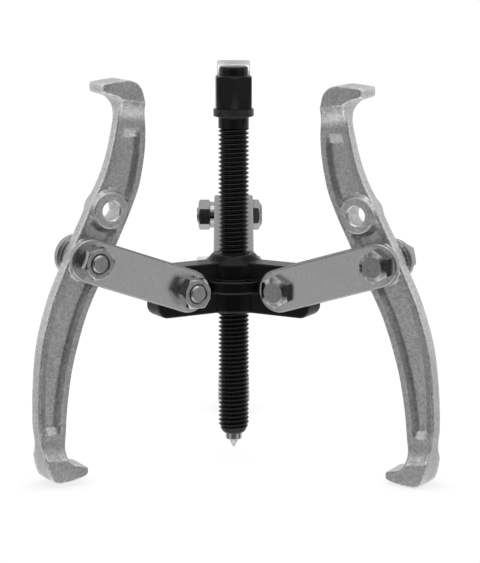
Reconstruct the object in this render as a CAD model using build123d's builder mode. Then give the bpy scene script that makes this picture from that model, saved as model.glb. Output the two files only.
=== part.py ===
from build123d import *
import math
import os

os.makedirs("parts", exist_ok=True)

# Three-jaw reversible gear puller.
# Frame: +Z up along the forcing screw, origin on the screw axis at the lower
# edge of the centre point's cylindrical shoulder.  All sizes in millimetres.
# r is the distance from the screw axis, z is measured from the yoke's pivot
# plane unless stated, s is across an arm (positive on the bolt-head side).

# ---------------------------------------------------------------- dimensions
PIVOT_Z = 73.1            # pivot plane of the yoke above the origin
# arm, azimuth, lift of its links and lean of its jaw at rest, in degrees: the
# lift turns the links up about the inner pivot, the lean turns the jaw about
# the outer pivot, positive with its head inwards
ARMS = (("left", 210.0, 1.2, -0.7), ("right", 330.0, -1.2, 0.7), ("rear", 90.0, 4.0, 0.0))

# pivots of one arm before its lift and lean, (r, z)
INNER_PIVOT = (28.0, 0.0)
OUTER_PIVOT = (76.3, 16.7)
SPARE_HOLE = (64.75, 37.4)

BOLT_R = 4.0              # M8 shank
PIVOT_HOLE_R = 4.08       # running clearance on the shank
SPARE_HOLE_R = 4.1
STRAP_HOLE_R = 4.05

# links
STRAP_W = 19.5
STRAP_T = 3.5
GAP = 11.9                # between the two straps of a pair
STRAP_OUT = GAP / 2 + STRAP_T   # outer face of a strap

# fasteners
HEX_AF = 13.0
HEAD_H = 4.5
LAND_R = 4.55             # round land on top of the head
WASHER_T = 2.0
WASHER_R = 6.45
NUT_H = 5.8
BOLT_PROUD = 0.8

# jaws
BOSS_R = 8.1
BOSS_T = 11.4
HALF_LOW, HALF_HIGH = 4.1, 3.0    # half of the flange thickness at z -61.5 and 74
HOOK_W = 16.0
WEB_T = 3.8               # left between the two pockets

# yoke
HUB_TOP, HUB_BOTTOM = 14.0, -12.3
HUB_R = 13.2
ARM_T = 11.4
ARM_TOP, ARM_BOTTOM, ARM_END, ARM_CORNER = 10.9, -12.2, 42.0, 5.2
WEB_TOP, WEB_BOTTOM, WEB_R = 2.9, -2.6, 17.0

# forcing screw, M14 x 2, right-hand
SCREW_R = 7.0
SCREW_BORE_R = 7.08
THREAD_TOP, THREAD_END, SCREW_END = 70.9, -66.0, -70.45
END_R = 4.25
NECK_R, NECK_TOP = 6.9, 76.2
COLLAR_R, COLLAR_TOP = 9.15, 79.7
DRIVE_AF, DRIVE_TOP, DRIVE_TURN = 16.0, 94.5, 3.5
SPIGOT_R, SPIGOT_TOP = 6.5, 98.7

# centre point
POINT_R, POINT_TOP, POINT_SHOULDER, POINT_TIP = 3.8, -70.5, -73.1, -78.0
STEM_R, STEM_BORE_R, STEM_TOP = 1.95, 2.0, -63.5

# fasteners of each arm: pivot, then how far the head and the nut are turned
FASTENERS = {"left": (("_inner", INNER_PIVOT, 26.0, 0.0), ("_outer", OUTER_PIVOT, 18.0, -12.0)),
             "right": (("_inner", INNER_PIVOT, 32.0, 34.0), ("_outer", OUTER_PIVOT, 31.0, 42.0)),
             "rear": (("_inner", INNER_PIVOT, 26.0, 34.0), ("_outer", OUTER_PIVOT, 22.0, 26.0))}

# jaw side view, (r, z), lower hook inwards and upper hook outwards
JAW_INNER = [(89.3, -66.5), (88.75, -62.0), (88.3, -57.2), (87.6, -50.0), (86.4, -41.6),
             (84.4, -31.4), (80.6, -18.5), (75.85, -5.9), (71.95, 1.8), (64.5, 15.9),
             (58.65, 27.0), (54.75, 34.6), (51.8, 41.0), (49.4, 47.1), (47.9, 53.0),
             (46.6, 59.7), (45.95, 65.0), (45.65, 70.0), (45.7, 74.0), (46.3, 78.0),
             (47.3, 82.0), (48.3, 85.5)]
JAW_OUTER = [(58.7, 82.5), (59.1, 78.0), (59.8, 74.0), (60.7, 70.0), (61.9, 65.0),
             (63.5, 59.7), (66.1, 53.0), (69.15, 47.1), (72.7, 41.0), (75.85, 34.6),
             (79.95, 27.0), (85.2, 15.9), (91.85, 1.8), (94.7, -5.9), (98.3, -18.5),
             (100.2, -31.4), (101.0, -41.6), (101.35, -50.0), (101.2, -57.2), (100.6, -62.0)]


def direction(azimuth):
    a = math.radians(azimuth)
    return Vector(math.cos(a), math.sin(a), 0.0)


def arm_plane(azimuth, s=0.0):
    """Plane of one arm: x is r, y is z from the pivot plane, normal is s."""
    d = direction(azimuth)
    n = Vector(d.Y, -d.X, 0.0)
    origin = Vector(0, 0, PIVOT_Z) + n * s
    return Plane(origin=origin, x_dir=d, z_dir=n)


def side_plane(azimuth, r):
    """Plane square to an arm at distance r: x is across the arm, y is z."""
    d = direction(azimuth)
    return Plane(origin=Vector(0, 0, PIVOT_Z) + d * r, x_dir=Vector(-d.Y, d.X, 0), z_dir=d)


def on_arm(azimuth, point, s):
    """A plane square to a pivot axis, centred on it, its normal along s."""
    p = arm_plane(azimuth, s)
    return Plane(origin=p.from_local_coords((point[0], point[1], 0)), x_dir=p.x_dir, z_dir=p.z_dir)


def inset(edge, distance):
    """Points moved sideways off a curve given by points, positive to its right."""
    out = []
    for i, (r, z) in enumerate(edge):
        a = edge[max(i - 1, 0)]
        b = edge[min(i + 1, len(edge) - 1)]
        dr, dz = b[0] - a[0], b[1] - a[1]
        n = math.hypot(dr, dz)
        out.append((r + dz / n * distance, z - dr / n * distance))
    return out


def turned(point, centre, angle):
    a = math.radians(angle)
    x, y = point[0] - centre[0], point[1] - centre[1]
    return (centre[0] + x * math.cos(a) - y * math.sin(a), centre[1] + x * math.sin(a) + y * math.cos(a))


def pivot_axis(azimuth, point):
    p = arm_plane(azimuth)
    return Axis(tuple(p.from_local_coords((point[0], point[1], 0))), tuple(p.z_dir))


def lifted(part, azimuth, lift):
    """A part of the links, turned up about the inner pivot."""
    return part.rotate(pivot_axis(azimuth, INNER_PIVOT), lift)


def leaned(part, azimuth, lift, lean):
    """A jaw, leaned about the outer pivot and carried up with it."""
    p = arm_plane(azimuth)
    end = turned(OUTER_PIVOT, INNER_PIVOT, lift)
    move = p.from_local_coords((end[0], end[1], 0)) - p.from_local_coords((OUTER_PIVOT[0], OUTER_PIVOT[1], 0))
    return part.rotate(pivot_axis(azimuth, OUTER_PIVOT), lean).translate(move)


def finish(part, label):
    part.label = label
    export_step(part, "parts/" + label + ".step")
    return part


# ---------------------------------------------------------------- yoke
with BuildPart() as yoke:
    with BuildSketch(Plane.XZ.offset(0)) as hub_half:
        with BuildLine():
            z0, z1 = PIVOT_Z + HUB_BOTTOM, PIVOT_Z + HUB_TOP
            Line((0, z0), (HUB_R - 0.8, z0))
            Line((HUB_R - 0.8, z0), (HUB_R, z0 + 0.8))
            Line((HUB_R, z0 + 0.8), (HUB_R, z1 - 4.6))
            Spline([(HUB_R, z1 - 4.6), (HUB_R - 1.4, z1 - 2.6), (9.9, z1 - 0.5)],
                   tangents=[(0, 1), (-1, 0.9)])
            Line((9.9, z1 - 0.5), (9.2, z1))
            Line((9.2, z1), (0, z1))
            Line((0, z1), (0, z0))
        make_face()
    revolve(axis=Axis.Z)
    with BuildSketch(Plane.XY.offset(PIVOT_Z + WEB_BOTTOM)):
        Circle(WEB_R)
    extrude(amount=WEB_TOP - WEB_BOTTOM)
    for _, azimuth, _, _ in ARMS:
        with BuildSketch(arm_plane(azimuth)):
            with BuildLine():
                c = ARM_CORNER
                Line((2, ARM_BOTTOM), (ARM_END - c, ARM_BOTTOM))
                RadiusArc((ARM_END - c, ARM_BOTTOM), (ARM_END, ARM_BOTTOM + c), -c)
                Line((ARM_END, ARM_BOTTOM + c), (ARM_END, ARM_TOP - c))
                RadiusArc((ARM_END, ARM_TOP - c), (ARM_END - c, ARM_TOP), -c)
                Line((ARM_END - c, ARM_TOP), (2, ARM_TOP))
                Line((2, ARM_TOP), (2, ARM_BOTTOM))
            make_face()
        extrude(amount=ARM_T / 2, both=True)
    with BuildSketch(Plane.XY.offset(PIVOT_Z - 30)):
        Circle(SCREW_BORE_R)
    extrude(amount=60, mode=Mode.SUBTRACT)
    for _, azimuth, _, _ in ARMS:
        with BuildSketch(arm_plane(azimuth)):
            with Locations(INNER_PIVOT):
                Circle(PIVOT_HOLE_R)
        extrude(amount=ARM_T, both=True, mode=Mode.SUBTRACT)
finish(yoke.part, "yoke")

# ---------------------------------------------------------------- forcing screw
with BuildPart() as forcing_screw:
    with BuildSketch(Plane.XZ):
        with BuildLine():
            Polyline((0, PIVOT_Z + SCREW_END), (END_R, PIVOT_Z + SCREW_END),
                     (6.1, PIVOT_Z + THREAD_END - 1.6), (SCREW_R, PIVOT_Z + THREAD_END),
                     (SCREW_R, PIVOT_Z + THREAD_TOP), (NECK_R, PIVOT_Z + THREAD_TOP + 0.1),
                     (NECK_R, PIVOT_Z + NECK_TOP - 0.8), (NECK_R + 0.8, PIVOT_Z + NECK_TOP),
                     (COLLAR_R, PIVOT_Z + NECK_TOP), (COLLAR_R, PIVOT_Z + COLLAR_TOP),
                     (SPIGOT_R, PIVOT_Z + COLLAR_TOP), (SPIGOT_R, PIVOT_Z + SPIGOT_TOP - 0.8),
                     (SPIGOT_R - 0.8, PIVOT_Z + SPIGOT_TOP), (0, PIVOT_Z + SPIGOT_TOP), close=True)
        make_face()
    revolve(axis=Axis.Z)
    with BuildSketch(Plane.XY.offset(PIVOT_Z + NECK_TOP + 0.6)):
        Circle(COLLAR_R)
    extrude(amount=COLLAR_TOP - NECK_TOP - 0.6)
    # drive hexagon, its top corners turned off at 30 degrees
    with BuildPart(mode=Mode.PRIVATE) as drive:
        with BuildSketch(Plane.XY.offset(PIVOT_Z + COLLAR_TOP - 0.5)):
            RegularPolygon(radius=DRIVE_AF / 2, side_count=6, major_radius=False, rotation=30 + DRIVE_TURN)
        extrude(amount=DRIVE_TOP - COLLAR_TOP + 0.5)
        h = DRIVE_TOP - COLLAR_TOP + 0.5
        with Locations((0, 0, PIVOT_Z + COLLAR_TOP - 0.5)):
            Cone(bottom_radius=7.9 + h / math.tan(math.radians(30)), top_radius=7.9, height=h,
                 align=(Align.CENTER, Align.CENTER, Align.MIN), mode=Mode.INTERSECT)
    add(drive.part)
    with BuildSketch(Plane.XY.offset(PIVOT_Z + SCREW_END - 1)):
        Circle(STEM_BORE_R)
    extrude(amount=STEM_TOP - SCREW_END + 1.3, mode=Mode.SUBTRACT)
finish(forcing_screw.part, "forcing_screw")

# ---------------------------------------------------------------- centre point
with BuildPart() as centre_point:
    with BuildSketch(Plane.XZ):
        with BuildLine():
            Polyline((0, PIVOT_Z + POINT_TIP), (1.45, PIVOT_Z + POINT_TIP + 2.6),
                     (1.9, PIVOT_Z + POINT_SHOULDER - 1.1), (3.3, PIVOT_Z + POINT_SHOULDER - 0.5),
                     (POINT_R, PIVOT_Z + POINT_SHOULDER), (POINT_R, PIVOT_Z + POINT_TOP),
                     (STEM_R, PIVOT_Z + POINT_TOP), (STEM_R, PIVOT_Z + STEM_TOP),
                     (0, PIVOT_Z + STEM_TOP), close=True)
        make_face()
    revolve(axis=Axis.Z)
finish(centre_point.part, "centre_point")


# ---------------------------------------------------------------- arms
def make_jaw(name, azimuth, lift, lean):
    hook = HOOK_W / 2
    low, high = HALF_LOW, HALF_HIGH
    with BuildPart() as jaw:
        # thickness along the height: wide hook blocks, scooped down to the
        # flange, which thins a little towards the head
        with BuildSketch(side_plane(azimuth, 40)):
            with BuildLine():
                Line((-hook, -84), (hook, -84))
                Line((hook, -84), (hook, -70.5))
                ThreePointArc((hook, -70.5), (low + 1.4, -67.0), (low, -61.5))
                Line((low, -61.5), (high, 74))
                ThreePointArc((high, 74), (high + 1.4, 79.8), (hook, 83.9))
                Line((hook, 83.9), (hook, 96))
                Line((hook, 96), (-hook, 96))
                Line((-hook, 96), (-hook, 83.9))
                ThreePointArc((-hook, 83.9), (-high - 1.4, 79.8), (-high, 74))
                Line((-high, 74), (-low, -61.5))
                ThreePointArc((-low, -61.5), (-low - 1.4, -67.0), (-hook, -70.5))
                Line((-hook, -70.5), (-hook, -84))
            make_face()
        extrude(amount=70)
        # side view
        with BuildSketch(arm_plane(azimuth)):
            with BuildLine():
                Spline(JAW_INNER, tangents=[(-0.05, 1), (0.22, 1)])
                Spline([(48.3, 85.5), (49.3, 89.4), (52.2, 92.8), (56.6, 94.1)],
                       tangents=[(0.22, 1), (1, 0.0)])
                Line((56.6, 94.1), (67.2, 93.1))
                Line((67.2, 93.1), (67.9, 92.5))
                Line((67.9, 92.5), (67.9, 89.0))
                Line((67.9, 89.0), (67.4, 88.6))
                Line((67.4, 88.6), (61.9, 87.0))
                Spline([(61.9, 87.0), (59.6, 85.3), (58.7, 82.5)], tangents=[(-1, -0.3), (-0.08, -1)])
                Spline(JAW_OUTER, tangents=[(-0.08, -1), (-0.15, -1)])
                Spline([(100.6, -62.0), (99.7, -70.0), (98.4, -76.5), (96.4, -80.2), (93.4, -81.1)],
                       tangents=[(-0.15, -1), (-1, 0.0)])
                Line((93.4, -81.1), (87.5, -80.7))
                Line((87.5, -80.7), (81.2, -79.5))
                Line((81.2, -79.5), (79.8, -78.2))
                Line((79.8, -78.2), (79.7, -76.0))
                Line((79.7, -76.0), (80.4, -75.2))
                Line((80.4, -75.2), (86.7, -73.6))
                Spline([(86.7, -73.6), (88.8, -71.3), (89.3, -66.5)], tangents=[(1, 0.25), (-0.05, 1)])
            make_face()
        extrude(amount=hook + 1, both=True, mode=Mode.INTERSECT)
        # pockets in both faces of the flange
        lower_in = [p for p in inset(JAW_INNER, 3.1) if -59.0 < p[1] < -2.0]
        lower_out = [p for p in inset(JAW_OUTER, 3.1) if -59.0 < p[1] < 3.0]
        upper_in = [p for p in inset(JAW_INNER, 3.1) if 48.5 < p[1] < 72.0]
        upper_out = [p for p in inset(JAW_OUTER, 3.1) if 48.0 < p[1] < 72.0]
        for inner, outer in ((lower_in, lower_out), (upper_in, upper_out)):
            for sign in (1, -1):
                with BuildSketch(arm_plane(azimuth, sign * (low + 0.5))):
                    with BuildLine():
                        Spline(inner)
                        Line(inner[-1], outer[0])
                        Spline(outer)
                        Line(outer[-1], inner[0])
                    make_face()
                extrude(amount=-sign * (low + 0.5 - WEB_T / 2), mode=Mode.SUBTRACT)
        # bosses round the working pivot hole and the spare hole
        with BuildSketch(arm_plane(azimuth)):
            with Locations(OUTER_PIVOT, SPARE_HOLE):
                Circle(BOSS_R)
        extrude(amount=BOSS_T / 2, both=True)
        with BuildSketch(arm_plane(azimuth)):
            with Locations(OUTER_PIVOT):
                Circle(PIVOT_HOLE_R)
            with Locations(SPARE_HOLE):
                Circle(SPARE_HOLE_R)
        extrude(amount=hook + 1, both=True, mode=Mode.SUBTRACT)
    return finish(leaned(jaw.part, azimuth, lift, lean), name + "_jaw")


def make_strap(name, azimuth, lift, sign):
    cr = (INNER_PIVOT[0] + OUTER_PIVOT[0]) / 2
    cz = (INNER_PIVOT[1] + OUTER_PIVOT[1]) / 2
    length = math.dist(INNER_PIVOT, OUTER_PIVOT)
    slope = math.degrees(math.atan2(OUTER_PIVOT[1] - INNER_PIVOT[1], OUTER_PIVOT[0] - INNER_PIVOT[0]))
    normal = arm_plane(azimuth).z_dir * sign
    with BuildPart() as strap:
        with BuildSketch(arm_plane(azimuth, sign * GAP / 2)):
            with Locations(Location((cr, cz, 0), (0, 0, slope))):
                SlotOverall(length + STRAP_W, STRAP_W)
            with Locations(INNER_PIVOT, OUTER_PIVOT):
                Circle(STRAP_HOLE_R, mode=Mode.SUBTRACT)
        extrude(amount=sign * STRAP_T)
        across = Axis((0, 0, 0), tuple(normal))
        fillet(strap.faces().sort_by(across)[-1].outer_wire().edges(), radius=0.9)
        fillet(strap.faces().sort_by(across)[0].outer_wire().edges(), radius=0.4)
    return finish(lifted(strap.part, azimuth, lift), name)


def make_bolt(name, azimuth, lift, pivot, turn):
    with BuildPart() as bolt:
        with BuildSketch(on_arm(azimuth, pivot, STRAP_OUT)):
            RegularPolygon(radius=HEX_AF / 2, side_count=6, major_radius=False, rotation=turn)
        extrude(amount=HEAD_H)
        with Locations(on_arm(azimuth, pivot, STRAP_OUT)):
            Cone(bottom_radius=LAND_R + HEAD_H / math.tan(math.radians(32)), top_radius=LAND_R,
                 height=HEAD_H, align=(Align.CENTER, Align.CENTER, Align.MIN), mode=Mode.INTERSECT)
        end = STRAP_OUT + WASHER_T + NUT_H
        with BuildSketch(on_arm(azimuth, pivot, STRAP_OUT)):
            Circle(BOLT_R)
        extrude(amount=-(STRAP_OUT + end))
        with Locations(on_arm(azimuth, pivot, -end - BOLT_PROUD)):
            Cone(bottom_radius=BOLT_R - 0.75, top_radius=BOLT_R, height=BOLT_PROUD,
                 align=(Align.CENTER, Align.CENTER, Align.MIN))
    return finish(lifted(bolt.part, azimuth, lift), name)


def make_nut(name, azimuth, lift, pivot, turn):
    s0 = -(STRAP_OUT + WASHER_T)
    slope = math.tan(math.radians(30))
    wide = 6.3 + NUT_H / slope
    with BuildPart() as nut:
        with BuildSketch(on_arm(azimuth, pivot, s0)):
            RegularPolygon(radius=HEX_AF / 2, side_count=6, major_radius=False, rotation=turn)
        extrude(amount=-NUT_H)
        with Locations(on_arm(azimuth, pivot, s0 - NUT_H)):
            Cone(bottom_radius=6.3, top_radius=wide, height=NUT_H,
                 align=(Align.CENTER, Align.CENTER, Align.MIN), mode=Mode.INTERSECT)
        with Locations(on_arm(azimuth, pivot, s0 - NUT_H)):
            Cone(bottom_radius=wide, top_radius=6.3, height=NUT_H,
                 align=(Align.CENTER, Align.CENTER, Align.MIN), mode=Mode.INTERSECT)
        with BuildSketch(on_arm(azimuth, pivot, s0)):
            Circle(BOLT_R)
        extrude(amount=-NUT_H, mode=Mode.SUBTRACT)
        with Locations(on_arm(azimuth, pivot, s0 - NUT_H)):
            Cone(bottom_radius=BOLT_R + 0.6, top_radius=BOLT_R, height=0.5,
                 align=(Align.CENTER, Align.CENTER, Align.MIN), mode=Mode.SUBTRACT)
    return finish(lifted(nut.part, azimuth, lift), name)


def make_washer(name, azimuth, lift, pivot, turn):
    # split spring washer, its slit cut on the slant
    with BuildPart() as washer:
        with BuildSketch(on_arm(azimuth, pivot, -STRAP_OUT)):
            Circle(WASHER_R)
            Circle(BOLT_R + 0.1, mode=Mode.SUBTRACT)
            with Locations(Location((0, 0, 0), (0, 0, turn))):
                with Locations((5.4, 0)):
                    Rectangle(4.2, 0.9, rotation=18, mode=Mode.SUBTRACT)
        extrude(amount=-WASHER_T)
    return finish(lifted(washer.part, azimuth, lift), name)


made = {"yoke": yoke.part, "forcing_screw": forcing_screw.part, "centre_point": centre_point.part}
for side, azimuth, lift, lean in ARMS:
    made[side + "_jaw"] = make_jaw(side, azimuth, lift, lean)
    for label, sign in (("_head_side_strap", 1), ("_nut_side_strap", -1)):
        made[side + label] = make_strap(side + label, azimuth, lift, sign)
    for where, pivot, head_turn, nut_turn in FASTENERS[side]:
        made[side + where + "_bolt"] = make_bolt(side + where + "_bolt", azimuth, lift, pivot, head_turn)
        made[side + where + "_nut"] = make_nut(side + where + "_nut", azimuth, lift, pivot, nut_turn)
        made[side + where + "_spring_washer"] = make_washer(side + where + "_spring_washer", azimuth, lift,
                                                            pivot, 176)

for key, solid in made.items():
    box = solid.bounding_box()
    print(key, round(solid.volume, 1), len(solid.solids()), [round(v, 2) for v in (*box.min, *box.max)])
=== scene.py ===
import math
import bmesh
import bpy
import numpy as np
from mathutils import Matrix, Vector
from mathutils.geometry import delaunay_2d_cdt


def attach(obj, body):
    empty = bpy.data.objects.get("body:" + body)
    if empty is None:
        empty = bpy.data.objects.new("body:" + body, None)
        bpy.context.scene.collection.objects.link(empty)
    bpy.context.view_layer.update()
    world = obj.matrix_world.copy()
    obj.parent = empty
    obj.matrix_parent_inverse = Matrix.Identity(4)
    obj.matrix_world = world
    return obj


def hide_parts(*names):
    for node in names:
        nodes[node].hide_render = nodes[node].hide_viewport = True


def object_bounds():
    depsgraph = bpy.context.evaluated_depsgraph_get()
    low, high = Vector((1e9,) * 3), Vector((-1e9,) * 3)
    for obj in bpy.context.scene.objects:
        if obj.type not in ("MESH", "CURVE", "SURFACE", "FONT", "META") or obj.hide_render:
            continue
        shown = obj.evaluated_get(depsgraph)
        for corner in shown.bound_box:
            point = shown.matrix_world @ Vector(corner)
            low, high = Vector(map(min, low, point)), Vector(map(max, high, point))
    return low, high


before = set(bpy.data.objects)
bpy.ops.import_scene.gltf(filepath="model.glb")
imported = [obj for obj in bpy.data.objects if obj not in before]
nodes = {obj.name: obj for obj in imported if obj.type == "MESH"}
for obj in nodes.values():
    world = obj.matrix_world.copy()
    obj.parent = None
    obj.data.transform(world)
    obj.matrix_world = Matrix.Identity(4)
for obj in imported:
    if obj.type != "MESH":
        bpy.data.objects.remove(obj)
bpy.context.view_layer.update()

# ------------------------------------------------------------------ shared sizes, in mm
PIVOT_Z = 73.1
ARMS = (("left", 210.0, 1.2, -0.7), ("right", 330.0, -1.2, 0.7), ("rear", 90.0, 4.0, 0.0))   # lift, lean
INNER_PIVOT, OUTER_PIVOT, SPARE_HOLE = (28.0, 0.0), (76.3, 16.7), (64.75, 37.4)
JAW_INNER = [(89.3, -66.5), (88.75, -62.0), (88.3, -57.2), (87.6, -50.0), (86.4, -41.6),
             (84.4, -31.4), (80.6, -18.5), (75.85, -5.9), (71.95, 1.8), (64.5, 15.9),
             (58.65, 27.0), (54.75, 34.6), (51.8, 41.0), (49.4, 47.1), (47.9, 53.0),
             (46.6, 59.7), (45.95, 65.0), (45.65, 70.0), (45.7, 74.0), (46.3, 78.0),
             (47.3, 82.0), (48.3, 85.5)]
JAW_OUTER = [(58.7, 82.5), (59.1, 78.0), (59.8, 74.0), (60.7, 70.0), (61.9, 65.0),
             (63.5, 59.7), (66.1, 53.0), (69.15, 47.1), (72.7, 41.0), (75.85, 34.6),
             (79.95, 27.0), (85.2, 15.9), (91.85, 1.8), (94.7, -5.9), (98.3, -18.5),
             (100.2, -31.4), (101.0, -41.6), (101.35, -50.0), (101.2, -57.2), (100.6, -62.0)]
MM = 0.001


def arm_axes(azimuth):
    a = math.radians(azimuth)
    d = np.array([math.cos(a), math.sin(a), 0.0])
    return d, np.array([d[1], -d[0], 0.0])          # outwards, and across to the bolt heads


def arm_points(azimuth, r, z, s):
    d, n = arm_axes(azimuth)
    r, z, s = (np.asarray(v, float) for v in (r, z, s))
    out = r[..., None] * d + s[..., None] * n
    out[..., 2] += z + PIVOT_Z
    return out * MM


def turned(r, z, centre, angle):
    a = math.radians(angle)
    x, y = r - centre[0], z - centre[1]
    return centre[0] + x * math.cos(a) - y * math.sin(a), centre[1] + x * math.sin(a) + y * math.cos(a)


def resting(r, z, lift, lean):
    """Jaw points leaned about the outer pivot and carried up with it."""
    r, z = turned(r, z, OUTER_PIVOT, lean)
    end = turned(OUTER_PIVOT[0], OUTER_PIVOT[1], INNER_PIVOT, lift)
    return r + end[0] - OUTER_PIVOT[0], z + end[1] - OUTER_PIVOT[1]


# ------------------------------------------------------------------ mesh helpers
def mesh_object(name, verts, faces, sharp=None, merge=None):
    me = bpy.data.meshes.new(name)
    me.from_pydata([tuple(map(float, v)) for v in verts], [], [tuple(map(int, f)) for f in faces])
    bm = bmesh.new()
    bm.from_mesh(me)
    if merge:
        bmesh.ops.remove_doubles(bm, verts=bm.verts, dist=merge)
        bmesh.ops.dissolve_degenerate(bm, edges=bm.edges, dist=merge)
    bmesh.ops.recalc_face_normals(bm, faces=bm.faces)
    for f in bm.faces:
        f.smooth = True
    if sharp is not None:
        for e in bm.edges:
            if len(e.link_faces) == 2 and e.calc_face_angle(0) > math.radians(sharp):
                e.smooth = False
    bm.to_mesh(me)
    bm.free()
    me.update()
    ob = bpy.data.objects.new(name, me)
    bpy.context.scene.collection.objects.link(ob)
    return ob


def spline(points, step):
    """Natural cubic spline through points, sampled about every step."""
    p = np.array(points, float)
    t = np.concatenate([[0], np.cumsum(np.linalg.norm(np.diff(p, axis=0), axis=1))])
    n = len(p)
    h = np.diff(t)
    a = np.zeros((n, n))
    b = np.zeros((n, 2))
    a[0, 0] = a[-1, -1] = 1
    for i in range(1, n - 1):
        a[i, i - 1], a[i, i], a[i, i + 1] = h[i - 1], 2 * (h[i - 1] + h[i]), h[i]
        b[i] = 6 * ((p[i + 1] - p[i]) / h[i] - (p[i] - p[i - 1]) / h[i - 1])
    m = np.linalg.solve(a, b)
    q = np.linspace(0, t[-1], max(3, int(t[-1] / step) + 1))
    k = np.clip(np.searchsorted(t, q, side="right") - 1, 0, n - 2)
    x0, x1, hh = (q - t[k])[:, None], (t[k + 1] - q)[:, None], h[k][:, None]
    return (m[k] * x1 ** 3 / (6 * hh) + m[k + 1] * x0 ** 3 / (6 * hh)
            + (p[k] / hh - m[k] * hh / 6) * x1 + (p[k + 1] / hh - m[k + 1] * hh / 6) * x0)


def resample(p, step):
    d = np.concatenate([[0], np.cumsum(np.linalg.norm(np.diff(p, axis=0), axis=1))])
    q = np.linspace(0, d[-1], int(round(d[-1] / step)) + 1)
    return np.stack([np.interp(q, d, p[:, 0]), np.interp(q, d, p[:, 1])], 1)


def distance(points, line):
    """Distance of each point to a polyline."""
    a, b = line[:-1], line[1:]
    ab = b - a
    best = np.full(len(points), 1e9)
    for s in range(0, len(points), 2000):
        p = points[s:s + 2000, None, :]
        t = np.clip(((p - a) * ab).sum(-1) / (ab * ab).sum(-1), 0, 1)
        best[s:s + 2000] = np.linalg.norm(p - (a + t[..., None] * ab), axis=-1).min(1)
    return best


def ramp(x, lo, hi):
    t = np.clip((x - lo) / (hi - lo), 0, 1)
    return t * t * (3 - 2 * t)


# ------------------------------------------------------------------ forged jaw
def jaw_profile():
    inner = np.concatenate([
        np.array([(79.7, -76.0), (80.4, -75.2)]),
        resample(np.array([(80.4, -75.2), (86.7, -73.6)]), 0.4)[1:],
        spline([(86.7, -73.6), (88.5, -71.8)] + JAW_INNER[:2], 0.4)[1:],
        spline(JAW_INNER[1:] + [(49.3, 89.4), (52.2, 92.7), (56.6, 94.1)], 0.4)[1:],
        resample(np.array([(56.6, 94.1), (67.2, 93.1)]), 0.4)[1:],
        np.array([(67.9, 92.5)])])
    outer = np.concatenate([
        np.array([(79.8, -78.2), (81.2, -79.5)]),
        resample(np.array([(81.2, -79.5), (87.5, -80.7), (93.4, -81.1)]), 0.4)[1:],
        spline([(93.4, -81.1), (96.4, -80.2), (98.4, -76.5), (99.7, -70.0)] + JAW_OUTER[::-1][:3], 0.4)[1:],
        spline(JAW_OUTER[::-1][2:] + [(59.6, 85.3), (61.9, 87.0)], 0.4)[1:],
        resample(np.array([(61.9, 87.0), (67.4, 88.6)]), 0.4)[1:],
        np.array([(67.9, 89.0)])])
    return inner, outer


def low_lip(r, z):
    """Height above the lower block's sloping lip."""
    return z + 70.5 - 0.14 * (r - 94.4)


def high_lip(r, z):
    """Height above the upper block's cranked lip."""
    return z - 83.8 - 0.155 * np.maximum(0, r - 48.3) - 0.372 * np.maximum(0, r - 60.4)


def soften(loop, rounds):
    for _ in range(rounds):
        loop = 0.25 * np.roll(loop, 1, 0) + 0.5 * loop + 0.25 * np.roll(loop, -1, 0)
    return loop


def jaw_half_thickness(p, inner, outer, edge, d_edge):
    """Half of the jaw's thickness at each point of its side view."""
    r, z = p[:, 0], p[:, 1]
    d_in, d_out = distance(p, inner), distance(p, outer)
    # flange with its two rims and the web between them, thinner towards the head
    half = 3.0 + 1.1 * np.clip((74 - z) / 135.5, 0, 1)
    web = 1.7
    slope_in = np.clip((d_in - 3.0) / 2.3, 0, 1)
    rim_out = np.interp(d_out, [0.98, 1.28, 3.5, 3.62, 3.85], [0, 0.42, 1, 1, 1])
    rim_out = half - (half - 2.5) * rim_out - 0.8 * ramp(d_out, 3.6, 3.85)
    rim_in = half - (half - 1.7) * slope_in
    section = np.maximum(np.maximum(rim_out, rim_in), web)
    solid = half - 0.12 * ramp(np.minimum(d_in, d_out), 0.6, 2.2)
    low = np.clip((-z - 56.2) / 3.5, 0, 1)
    high = np.clip((z - 68.4) / 4.2, 0, 1)
    h = section * (1 - low) * (1 - high) + solid * (low + high)
    # scoops up to the two hook blocks
    lo, hi = low_lip(r, z), high_lip(r, z)
    x = np.clip((8.6 - lo) / 8.6, 0, 1)
    h = np.where(x > 0, solid + (7.85 - half) * x ** 2.2, h)
    x = np.clip((hi + 9.6) / 9.6, 0, 1)
    h = np.where(x > 0, solid + (7.85 - half) * x ** 2.1, h)
    h = np.where(lo < 0, 7.8 + 0.15 * ramp(-lo, 0, 7), h)
    h = np.where(hi > 0, 7.85, h)
    # hook tips narrow a little
    h = h - 0.5 * ramp(-r, -87.0, -80.0) * (z < -60) - 0.35 * ramp(r, 62, 68) * (z > 80)
    # bosses, with a drafted foot
    for c in (OUTER_PIVOT, SPARE_HOLE):
        rho = np.hypot(r - c[0], z - c[1])
        cap = np.where(rho < 7.6, 5.7, 5.7 - (0.5 - np.sqrt(np.maximum(0, 0.25 - np.clip(rho - 7.6, 0, 0.5) ** 2))))
        foot = 5.2 - 2.2 * np.maximum(0, rho - 8.1)
        foot = np.minimum(foot, half + 1.5 * np.maximum(0, d_edge - 0.2))
        boss = np.where(rho < 8.1, cap, foot)
        near = rho < 13
        k = 0.5
        blend = h + k * np.logaddexp(0, (boss - h) / k) - k * math.log(2) * np.exp(-np.abs(boss - h) / k)
        h = np.where(near & (rho >= 8.1), np.maximum(blend, h), np.where(rho < 8.1, cap, h))
        # chamfered hole rim
        h = np.where(rho < 4.75, h - (4.75 - rho) * 0.8, h)
    # every outside edge is rounded
    radius = 0.75
    t = np.clip(radius - d_edge, 0, radius)
    h = h - (radius - np.sqrt(radius ** 2 - t ** 2)) * 0.9
    return h


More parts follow.
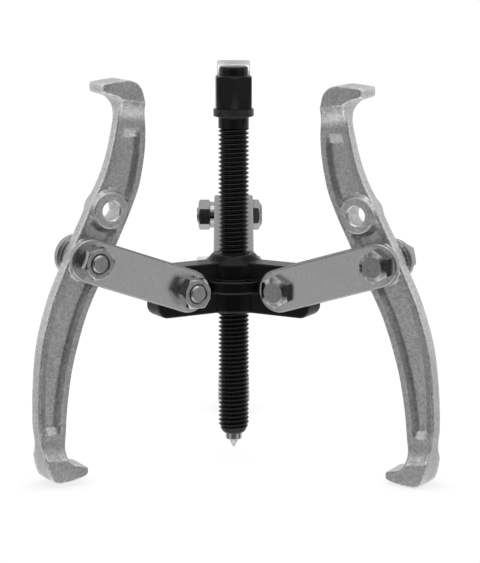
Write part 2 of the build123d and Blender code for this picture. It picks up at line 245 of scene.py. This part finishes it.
def make_jaw_mesh():
    inner, outer = jaw_profile()
    loop = np.concatenate([inner, resample(np.array([inner[-1], outer[-1]]), 0.4)[1:-1], outer[::-1],
                           resample(np.array([outer[0], inner[0]]), 0.4)[1:-1]])
    closed = resample(np.concatenate([loop, loop[:1]]), 0.3)[:-1]
    closed = soften(closed, 3)
    loop = resample(np.concatenate([closed, closed[:1]]), 0.55)[:-1]
    ring = np.concatenate([loop, loop[:1]])
    area = 0.5 * np.sum(ring[:-1, 0] * ring[1:, 1] - ring[1:, 0] * ring[:-1, 1])
    tang = np.roll(loop, -1, 0) - np.roll(loop, 1, 0)
    tang /= np.linalg.norm(tang, axis=1)[:, None]
    inward = np.stack([-tang[:, 1], tang[:, 0]], 1) * (1 if area > 0 else -1)
    centres = (OUTER_PIVOT, SPARE_HOLE)

    def far_from_bosses(p, reach):
        keep = np.ones(len(p), bool)
        for c in centres:
            keep &= np.hypot(p[:, 0] - c[0], p[:, 1] - c[1]) > reach
        return keep

    def offset_points(line, dist, other=None, step=None):
        p = resample(line, step or 0.75)
        t = np.gradient(p, axis=0)
        t /= np.linalg.norm(t, axis=1)[:, None]
        out = []
        for sign in (1, -1):
            q = p + np.stack([-t[:, 1], t[:, 0]], 1) * sign * dist
            ok = np.abs(distance(q, line) - dist) < 0.03
            if other is not None:
                ok &= distance(q, other) > dist
            out.append(q[ok])
        return np.concatenate(out)

    def inside(q):
        x, y = q[:, 0], q[:, 1]
        res = np.zeros(len(q), bool)
        for (x0, y0), (x1, y1) in zip(ring[:-1], ring[1:]):
            cond = (y0 > y) != (y1 > y)
            if cond.any():
                xi = x0 + (y[cond] - y0) * (x1 - x0) / (y1 - y0)
                res[cond] ^= x[cond] < xi
        return res

    layers = [loop]
    for dist in (0.1, 0.28, 0.52, 0.8):
        q = loop + inward * dist
        layers.append(q[distance(q, ring) > dist * 0.96])
    fixed = []
    for c in centres:
        for rho, n in ((4.1, 56), (4.4, 56), (4.78, 56), (5.6, 56), (6.8, 60), (7.6, 72), (7.8, 72), (7.98, 72), (8.1, 72),
                       (8.35, 72), (8.8, 72), (9.4, 72), (10.1, 72), (10.9, 72)):
            a = np.arange(n) * 2 * math.pi / n
            q = np.stack([c[0] + rho * np.cos(a), c[1] + rho * np.sin(a)], 1)
            ok = inside(q) & (distance(q, ring) > 0.9)
            if rho < 8.2:
                ok = inside(q) & (distance(q, ring) > 0.12)
            fixed.append(q[ok])
    z_lip = []
    for off in (-0.4, 0.0, 0.35):
        x = np.arange(79.0, 101.5, 0.7)
        z_lip.append(np.stack([x, -70.5 + 0.14 * (x - 94.4) + off], 1))
    for z in (-56.2, -57.9, -59.7):
        x = np.arange(86.0, 102.0, 0.7)
        z_lip.append(np.stack([x, np.full(len(x), z)], 1))
    for off in (-0.35, 0.0, 0.4):
        x = np.arange(46.0, 68.0, 0.7)
        z_lip.append(np.stack([x, x * 0 - high_lip(x, 0 * x) + off], 1))
    for z in (68.4, 70.5, 72.6):
        x = np.arange(45.0, 62.0, 0.7)
        z_lip.append(np.stack([x, np.full(len(x), z)], 1))
    lips = np.concatenate(z_lip)
    lips = lips[inside(lips) & (distance(lips, ring) > 0.95)]
    columns = []
    for dist in (0.98, 1.35, 1.9, 2.6, 3.2, 3.5, 3.66, 3.87, 4.2, 4.8, 5.6, 6.4, 7.3, 8.3, 9.4, 10.6):
        columns.append(offset_points(outer, dist, inner))
    for dist in (1.1, 1.8, 2.5, 3.1, 3.6, 4.2, 4.9, 5.7, 6.4, 7.3, 8.3, 9.4, 10.6):
        columns.append(offset_points(inner, dist, outer))
    columns = np.concatenate(columns)
    columns = columns[inside(columns) & (distance(columns, ring) > 0.96)]
    keep = far_from_bosses(columns, 11.2)
    columns = columns[keep]
    columns = columns[np.abs(low_lip(columns[:, 0], columns[:, 1])) > 0.6]
    columns = columns[np.abs(high_lip(columns[:, 0], columns[:, 1])) > 0.6]
    layers = [layers[0]] + [q[far_from_bosses(q, 8.3)] for q in layers[1:]]
    pool = np.concatenate(layers + fixed + [lips, columns])
    # drop near duplicates, the earlier point wins
    taken, kept = {}, []
    cell = 0.16
    for i, (x, y) in enumerate(pool):
        cx, cy = int(x // cell), int(y // cell)
        if i >= len(loop):
            clash = False
            for ax in (cx - 1, cx, cx + 1):
                for ay in (cy - 1, cy, cy + 1):
                    j = taken.get((ax, ay))
                    if j is not None and (pool[j][0] - x) ** 2 + (pool[j][1] - y) ** 2 < cell ** 2:
                        clash = True
            if clash:
                continue
        taken[(cx, cy)] = i
        kept.append(i)
    pts = pool[kept]
    n = len(loop)
    edges = [(i, (i + 1) % n) for i in range(n)]
    for c in centres:
        rho = np.hypot(pts[:, 0] - c[0], pts[:, 1] - c[1])
        idx = np.where(np.abs(rho - 4.1) < 1e-6)[0]
        idx = idx[np.argsort(np.arctan2(pts[idx, 1] - c[1], pts[idx, 0] - c[0]))]
        edges += [(int(idx[k]), int(idx[(k + 1) % len(idx)])) for k in range(len(idx))]
    out = delaunay_2d_cdt([Vector(p) for p in pts], edges, [], 0, 1e-5)
    v2 = np.array([tuple(v) for v in out[0]])
    tris = []
    for f in out[2]:
        g = v2[list(f)].mean(0)
        tris.append((f, g))
    g = np.array([t[1] for t in tris])
    ok = inside(g)
    for c in centres:
        ok &= np.hypot(g[:, 0] - c[0], g[:, 1] - c[1]) > 4.09
    faces = [t[0] for t, k in zip(tris, ok) if k]
    d_edge = distance(v2, ring)
    h = jaw_half_thickness(v2, inner, outer, ring, d_edge)
    # slight unevenness of a forging
    wob = (np.sin(v2[:, 0] * 0.9 + 1.3 * np.sin(v2[:, 1] * 0.31)) * np.sin(v2[:, 1] * 0.57 + 0.8 * np.sin(v2[:, 0] * 0.5)))
    flat = np.ones(len(v2))
    for c in centres:
        flat *= ramp(np.hypot(v2[:, 0] - c[0], v2[:, 1] - c[1]), 8.2, 10)
    h = h + 0.035 * wob * flat
    count = len(v2)
    verts2 = [(v2[:, 0], v2[:, 1], h), (v2[:, 0], v2[:, 1], -h)]
    all_faces = [tuple(f) for f in faces] + [tuple(count + i for i in reversed(f)) for f in faces]
    # boundary edges become the outer wall and the walls of the holes
    seen = {}
    for f in faces:
        for a, b in zip(f, list(f[1:]) + [f[0]]):
            seen[(a, b)] = seen.get((a, b), 0) + 1
    border = [(a, b) for (a, b) in seen if (b, a) not in seen]
    rows = 5
    extra_r, extra_z, extra_s, index = [], [], [], {}
    for a, b in border:
        for v in (a, b):
            if v not in index:
                index[v] = [v] + [2 * count + len(extra_r) + k for k in range(rows - 1)] + [count + v]
                for k in range(1, rows):
                    extra_r.append(v2[v, 0])
                    extra_z.append(v2[v, 1])
                    extra_s.append(h[v] * (1 - 2 * k / rows))
    for a, b in border:
        ia, ib = index[a], index[b]
        for k in range(rows):
            all_faces.append((ia[k], ia[k + 1], ib[k + 1], ib[k]))
    r = np.concatenate([verts2[0][0], verts2[1][0], extra_r])
    z = np.concatenate([verts2[0][1], verts2[1][1], extra_z])
    s = np.concatenate([verts2[0][2], verts2[1][2], extra_s])
    return r, z, s, all_faces


jaw_r, jaw_z, jaw_s, jaw_faces = make_jaw_mesh()
pieces = {}
for side, azimuth, lift, lean in ARMS:
    here_r, here_z = resting(jaw_r, jaw_z, lift, lean)
    here_r = np.minimum(here_r, here_r.max() - 0.05)
    ob = mesh_object(side + "_jaw_forging", arm_points(azimuth, here_r, here_z, jaw_s), jaw_faces, sharp=30)
    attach(ob, side + "_jaw")
    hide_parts(side + "_jaw")
    pieces[ob.name] = ob


# ------------------------------------------------------------------ forcing screw
def lathe(profile, steps=96, phase=0.0):
    """Vertices and faces of a turned shape; profile is (radius, z), a radius may be a function of the angle."""
    verts, faces = [], []
    m = len(profile)
    for i in range(steps):
        a = 2 * math.pi * i / steps + phase
        for rad, z in profile:
            q = rad(a) if callable(rad) else rad
            verts.append((q * math.cos(a) * MM, q * math.sin(a) * MM, (z + PIVOT_Z) * MM))
    for i in range(steps):
        j = (i + 1) % steps
        for k in range(m - 1):
            faces.append((i * m + k, j * m + k, j * m + k + 1, i * m + k + 1))
    return verts, faces


def threaded(z0, z1, pitch, form, envelope, steps):
    """A helical thread: form is (height within one pitch, radius); envelope(z) caps the radius at the ends."""
    per = len(form)
    turns = int(math.ceil((z1 - z0) / pitch)) + 2
    rows = turns * per + 1
    verts, faces = [], []
    for i in range(steps + 1):
        a = 2 * math.pi * i / steps
        for k in range(rows):
            off, rad = form[k % per]
            z = z0 - pitch + (k // per) * pitch + off * pitch + pitch * i / steps
            z = min(max(z, z0), z1)
            rad = min(rad, envelope(z))
            verts.append((rad * math.cos(a) * MM, rad * math.sin(a) * MM, (z + PIVOT_Z) * MM))
    for i in range(steps):
        for k in range(rows - 1):
            faces.append((i * rows + k, (i + 1) * rows + k, (i + 1) * rows + k + 1, i * rows + k + 1))
    return verts, faces


def join(parts):
    verts, faces = [], []
    for v, f in parts:
        n = len(verts)
        verts += list(v)
        faces += [tuple(i + n for i in g) for g in f]
    return verts, faces


Z_END, Z_TOP = -70.45, 70.9


def screw_envelope(z):
    low = 4.25 + 2.75 * min(1.0, max(0.0, (z - Z_END) / 4.45)) ** 0.55
    high = 5.75 + (7.0 - 5.75) * 1.0 if z < Z_TOP - 0.6 else 6.98 - 0.12 * (z - Z_TOP + 0.6)
    return min(low, high, 6.98)


FORM = [(0.00, 5.74), (0.10, 5.80), (0.17, 6.02), (0.29, 6.46), (0.42, 6.90), (0.455, 6.96), (0.50, 6.98),
        (0.545, 6.96), (0.58, 6.90), (0.71, 6.46), (0.83, 6.02), (0.90, 5.80)]
parts = [threaded(Z_END, Z_TOP, 2.0, FORM, screw_envelope, 72)]
# lower end face with the opening for the point's stem
parts.append(lathe([(4.25, Z_END), (2.1, Z_END), (2.0, Z_END + 0.15), (2.0, -63.5), (0.001, -63.5)], 72))


def hexagon(angle):
    turn = math.radians(3.5)
    a = (angle - turn + math.pi / 6) % (math.pi / 3) - math.pi / 6
    return 8.0 / math.cos(a)


def rounded_hex(cap, soft=0.25):
    def f(angle):
        q = hexagon(angle)
        corner = 8.0 / math.cos(math.pi / 6) - soft
        return min(q, corner, cap) if cap else min(q, corner)
    return f


neck = [(6.86, Z_TOP), (6.88, Z_TOP + 0.4), (6.9, 75.2), (6.98, 75.7), (7.25, 76.05), (7.7, 76.2), (8.75, 76.2), (9.02, 76.32),
        (9.15, 76.6), (9.15, 79.25), (9.05, 79.55), (8.8, 79.7), (8.0, 79.72), (6.0, 79.72)]
parts.append(lathe(neck, 96))
slope = math.tan(math.radians(30))
hex_rows = [(lambda a: min(hexagon(a), 8.3), 79.72), (rounded_hex(None), 80.1)]
for z in (84, 88, 92.0, 93.0):
    hex_rows.append((rounded_hex(None), z))
for k in range(0, 9):
    z = 93.1 + 1.4 * k / 8
    lim = 7.75 + (94.5 - z) / slope
    hex_rows.append(((lambda lim: (lambda a: min(rounded_hex(None)(a), lim)))(lim), z))
hex_rows += [(7.5, 94.56), (6.6, 94.56), (6.5, 94.7), (6.5, 97.9), (6.3, 98.4), (5.8, 98.68), (0.001, 98.7)]
parts.append(lathe(hex_rows, 144, math.radians(3.5)))
screw = mesh_object("forcing_screw_threaded", *join(parts), sharp=32, merge=1e-6)
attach(screw, "screw")
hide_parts("forcing_screw")
pieces[screw.name] = screw

# ------------------------------------------------------------------ forged yoke: the CAD shape with every corner softened
src = nodes["yoke"].data.copy()
yoke = bpy.data.objects.new("yoke_forging", src)
bpy.context.scene.collection.objects.link(yoke)
mod = yoke.modifiers.new("voxels", "REMESH")
mod.mode, mod.voxel_size, mod.use_smooth_shade = "VOXEL", 0.00038, True
mod = yoke.modifiers.new("soften", "SMOOTH")
mod.factor, mod.iterations = 0.5, 5
dg = bpy.context.evaluated_depsgraph_get()
made = bpy.data.meshes.new_from_object(yoke.evaluated_get(dg))
yoke.modifiers.clear()
yoke.data = made
for p in made.polygons:
    p.use_smooth = True
made.materials.clear()
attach(yoke, "yoke")
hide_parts("yoke")
pieces[yoke.name] = yoke


# ------------------------------------------------------------------ materials
def new_material(name):
    m = bpy.data.materials.new(name)
    m.use_nodes = True
    nt = m.node_tree
    nt.nodes.clear()
    out = nt.nodes.new("ShaderNodeOutputMaterial")
    bsdf = nt.nodes.new("ShaderNodeBsdfPrincipled")
    nt.links.new(bsdf.outputs[0], out.inputs[0])
    return m, nt, bsdf


def noise(nt, coord, scale, detail=3.0, rough=0.5, stretch=None):
    n = nt.nodes.new("ShaderNodeTexNoise")
    n.inputs["Scale"].default_value = scale
    n.inputs["Detail"].default_value = detail
    n.inputs["Roughness"].default_value = rough
    if stretch:
        mp = nt.nodes.new("ShaderNodeMapping")
        mp.inputs["Scale"].default_value = stretch
        nt.links.new(coord, mp.inputs[0])
        coord = mp.outputs[0]
    nt.links.new(coord, n.inputs["Vector"])
    return n.outputs["Fac"]


def remap(nt, value, lo, hi, a, b):
    n = nt.nodes.new("ShaderNodeMapRange")
    n.inputs["From Min"].default_value, n.inputs["From Max"].default_value = lo, hi
    n.inputs["To Min"].default_value, n.inputs["To Max"].default_value = a, b
    nt.links.new(value, n.inputs["Value"])
    return n.outputs["Result"]


def math_node(nt, op, a, b=None):
    n = nt.nodes.new("ShaderNodeMath")
    n.operation = op
    for k, v in enumerate((a, b)):
        if v is None:
            continue
        if isinstance(v, (int, float)):
            n.inputs[k].default_value = v
        else:
            nt.links.new(v, n.inputs[k])
    return n.outputs[0]


def grey(nt, value):
    n = nt.nodes.new("ShaderNodeCombineColor")
    for k in range(3):
        nt.links.new(value, n.inputs[k])
    return n.outputs[0]


def metal(name, base, spread, rough, rough_spread, grain, grain_depth, pits, pit_depth, edge=0.25, metallic=1.0,
          tint=(1, 1, 1), speck=0.0, speck_scale=1000, specular=0.5):
    m, nt, bsdf = new_material(name)
    tc = nt.nodes.new("ShaderNodeTexCoord")
    co = tc.outputs["Object"]
    big = noise(nt, co, 160, 4, 0.55)
    mid = noise(nt, co, grain, 5, 0.62)
    fine = noise(nt, co, pits, 3, 0.7)
    geo = nt.nodes.new("ShaderNodeNewGeometry")
    # convex edges found by pointiness: partly edge wear, partly a painted edge highlight
    edge_wear_and_highlight = remap(nt, geo.outputs["Pointiness"], 0.505, 0.56, 0.0, 1.0)
    value = math_node(nt, "ADD", remap(nt, big, 0.3, 0.7, base - spread, base + spread),
                      remap(nt, mid, 0.3, 0.7, -spread * 0.7, spread * 0.7))
    if speck:
        dots = noise(nt, co, speck_scale, 2, 0.6)
        value = math_node(nt, "ADD", value, remap(nt, dots, 0.32, 0.68, -speck, speck))
    # painted edge highlight mixed with edge wear: the convex-edge mask lifts the base colour by edge
    value = math_node(nt, "ADD", value, math_node(nt, "MULTIPLY", edge_wear_and_highlight, edge))
    value = math_node(nt, "MAXIMUM", math_node(nt, "MINIMUM", value, 0.92), 0.004)
    col = nt.nodes.new("ShaderNodeMix")
    col.data_type, col.blend_type = "RGBA", "MULTIPLY"
    col.inputs["Factor"].default_value = 1.0
    nt.links.new(grey(nt, value), col.inputs[6])
    col.inputs[7].default_value = (*tint, 1)
    nt.links.new(col.outputs[2], bsdf.inputs["Base Color"])
    r = math_node(nt, "ADD", remap(nt, mid, 0.3, 0.7, rough - rough_spread, rough + rough_spread),
                  math_node(nt, "MULTIPLY", edge_wear_and_highlight, -0.08))
    nt.links.new(math_node(nt, "MAXIMUM", r, 0.08), bsdf.inputs["Roughness"])
    bsdf.inputs["Metallic"].default_value = metallic
    if metallic == 0:
        bsdf.inputs["Specular IOR Level"].default_value = specular
    b1 = nt.nodes.new("ShaderNodeBump")
    b1.inputs["Strength"].default_value = 1.0
    b1.inputs["Distance"].default_value = grain_depth
    nt.links.new(mid, b1.inputs["Height"])
    b2 = nt.nodes.new("ShaderNodeBump")
    b2.inputs["Strength"].default_value = 1.0
    b2.inputs["Distance"].default_value = pit_depth
    nt.links.new(fine, b2.inputs["Height"])
    nt.links.new(b1.outputs[0], b2.inputs["Normal"])
    nt.links.new(b2.outputs[0], bsdf.inputs["Normal"])
    return m


zinc_forging = metal("zinc_forging", 0.62, 0.05, 0.33, 0.05, 620, 0.00022, 1900, 0.00009, edge=0.28, speck=0.12, speck_scale=900)
zinc_strap = metal("zinc_strap", 0.38, 0.010, 0.33, 0.02, 1500, 0.00001, 5200, 0.000006, edge=0.25, speck=0.04, speck_scale=1100)
zinc_fastener = metal("zinc_fastener", 0.20, 0.015, 0.20, 0.03, 1100, 0.00002, 4200, 0.00001, edge=0.25, speck=0.05)
bright_steel = metal("bright_steel", 0.50, 0.03, 0.28, 0.04, 1100, 0.00002, 4200, 0.00001, edge=0.15)
# on the black paint the edge term lightens convex edges: a painted edge highlight
black_cast = metal("black_cast", 0.004, 0.001, 0.24, 0.05, 700, 0.00006, 2400, 0.00002, edge=0.07, metallic=0.0, specular=0.16)
black_oxide = metal("black_oxide", 0.005, 0.001, 0.26, 0.04, 900, 0.00003, 3000, 0.00001, edge=0.03, metallic=0.0, specular=0.25)


def dress(ob, material):
    ob.data.materials.clear()
    ob.data.materials.append(material)
    for p in ob.data.polygons:
        p.material_index = 0


for name, ob in pieces.items():
    dress(ob, zinc_forging if "jaw" in name else black_cast if "yoke" in name else black_oxide)


def give(name, material, bevel=None):
    ob = nodes[name]
    if not ob.material_slots:
        ob.data.materials.append(material)
    for s in ob.material_slots:
        s.link = "OBJECT"
        s.material = material
    if bevel:
        mod = ob.modifiers.new("edge", "BEVEL")
        mod.width, mod.segments, mod.limit_method, mod.angle_limit = bevel, 2, "ANGLE", math.radians(28)
        mod.harden_normals = True


give("centre_point", bright_steel)
for side, _, _, _ in ARMS:
    for n in ("head_side_strap", "nut_side_strap"):
        give(side + "_" + n, zinc_strap)
    for where in ("inner", "outer"):
        for n, w in (("bolt", 0.00018), ("nut", 0.00018), ("spring_washer", 0.00015)):
            give(f"{side}_{where}_{n}", zinc_fastener, w)

# ------------------------------------------------------------------ floor, lights, camera
FLOOR_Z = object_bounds()[0][2] - 0.0001
bpy.ops.mesh.primitive_plane_add(size=30, location=(0, 8, FLOOR_Z))
floor = bpy.context.object
floor.name = "floor"
m = bpy.data.materials.new("floor_paper_painted_shadow")
m.use_nodes = True
nt = m.node_tree
nt.nodes.clear()
out = nt.nodes.new("ShaderNodeOutputMaterial")
# evenly glowing floor, darkened by ambient occlusion near the parts: a painted contact shadow
glow = nt.nodes.new("ShaderNodeEmission")
ao = nt.nodes.new("ShaderNodeAmbientOcclusion")
ao.samples = 16
ao.inputs["Distance"].default_value = 0.030
nt.links.new(remap(nt, ao.outputs["AO"], 0.35, 0.95, 0.86, 1.02), glow.inputs["Strength"])
nt.links.new(glow.outputs[0], out.inputs[0])
dress(floor, m)
floor.visible_glossy = False

world = bpy.data.worlds.new("studio")
bpy.context.scene.world = world
world.use_nodes = True
wt = world.node_tree
wt.nodes.clear()
wo = wt.nodes.new("ShaderNodeOutputWorld")
bg = wt.nodes.new("ShaderNodeBackground")
tc = wt.nodes.new("ShaderNodeTexCoord")
sep = wt.nodes.new("ShaderNodeSeparateXYZ")
wt.links.new(tc.outputs["Generated"], sep.inputs[0])
front_side = math_node(wt, "SUBTRACT", remap(wt, sep.outputs["Y"], -0.92, -0.55, 0.0, 0.42),
                       remap(wt, sep.outputs["Y"], -0.40, -0.15, 0.0, 0.42))
back = remap(wt, sep.outputs["Y"], 0.10, 0.50, 0.0, 0.66)
up = remap(wt, sep.outputs["Z"], 0.40, 0.80, 0.0, 0.62)
down = math_node(wt, "MULTIPLY", remap(wt, sep.outputs["Z"], -0.72, -0.34, 0.80, 0.0),
                 remap(wt, sep.outputs["Y"], 0.10, 0.50, 1.0, 0.12))
total = math_node(wt, "ADD", math_node(wt, "ADD", 0.08, front_side), math_node(wt, "ADD", math_node(wt, "MAXIMUM", back, up), down))
wt.links.new(grey(wt, total), bg.inputs["Color"])
bg.inputs["Strength"].default_value = 1.0
wt.links.new(bg.outputs[0], wo.inputs[0])


def area(name, loc, aim, size, power):
    data = bpy.data.lights.new(name, "AREA")
    data.shape, data.size, data.size_y, data.energy = "RECTANGLE", size[0], size[1], power
    ob = bpy.data.objects.new(name, data)
    bpy.context.scene.collection.objects.link(ob)
    ob.location = loc
    ob.rotation_euler = (Vector(aim) - Vector(loc)).to_track_quat("-Z", "Y").to_euler()
    return ob


area("top_box", (0.0, -0.1, 0.95), (0, 0, 0.05), (0.8, 0.5), 1.2)
area("left_strip", (-0.85, 0.15, 0.40), (0, 0, 0.08), (0.3, 0.8), 0.6)
area("right_strip", (0.85, 0.15, 0.40), (0, 0, 0.08), (0.3, 0.8), 0.6)

ELEV, DIST, FPX = math.radians(10.5), 0.900, 1967.0
cam_data = bpy.data.cameras.new("camera")
cam = bpy.data.objects.new("camera", cam_data)
bpy.context.scene.collection.objects.link(cam)
bpy.context.scene.camera = cam
CAM_LIFT = 0.0004
target = Vector((0.0029, 0, PIVOT_Z * MM + CAM_LIFT))
cam.location = Vector((0, 0, PIVOT_Z * MM + CAM_LIFT)) + Vector((0, -math.cos(ELEV), math.sin(ELEV))) * DIST
cam.rotation_euler = (target - cam.location).to_track_quat("-Z", "Y").to_euler()
cam_data.sensor_width = 36
cam_data.lens = FPX * 36 / 563
cam_data.clip_start, cam_data.clip_end = 0.05, 60

sc = bpy.context.scene
sc.view_settings.view_transform = "Standard"
sc.view_settings.look = "None"
sc.view_settings.exposure = 0
sc.view_settings.gamma = 1
sc.cycles.use_denoising = True
sc.cycles.max_bounces = 8

bpy.context.view_layer.update()
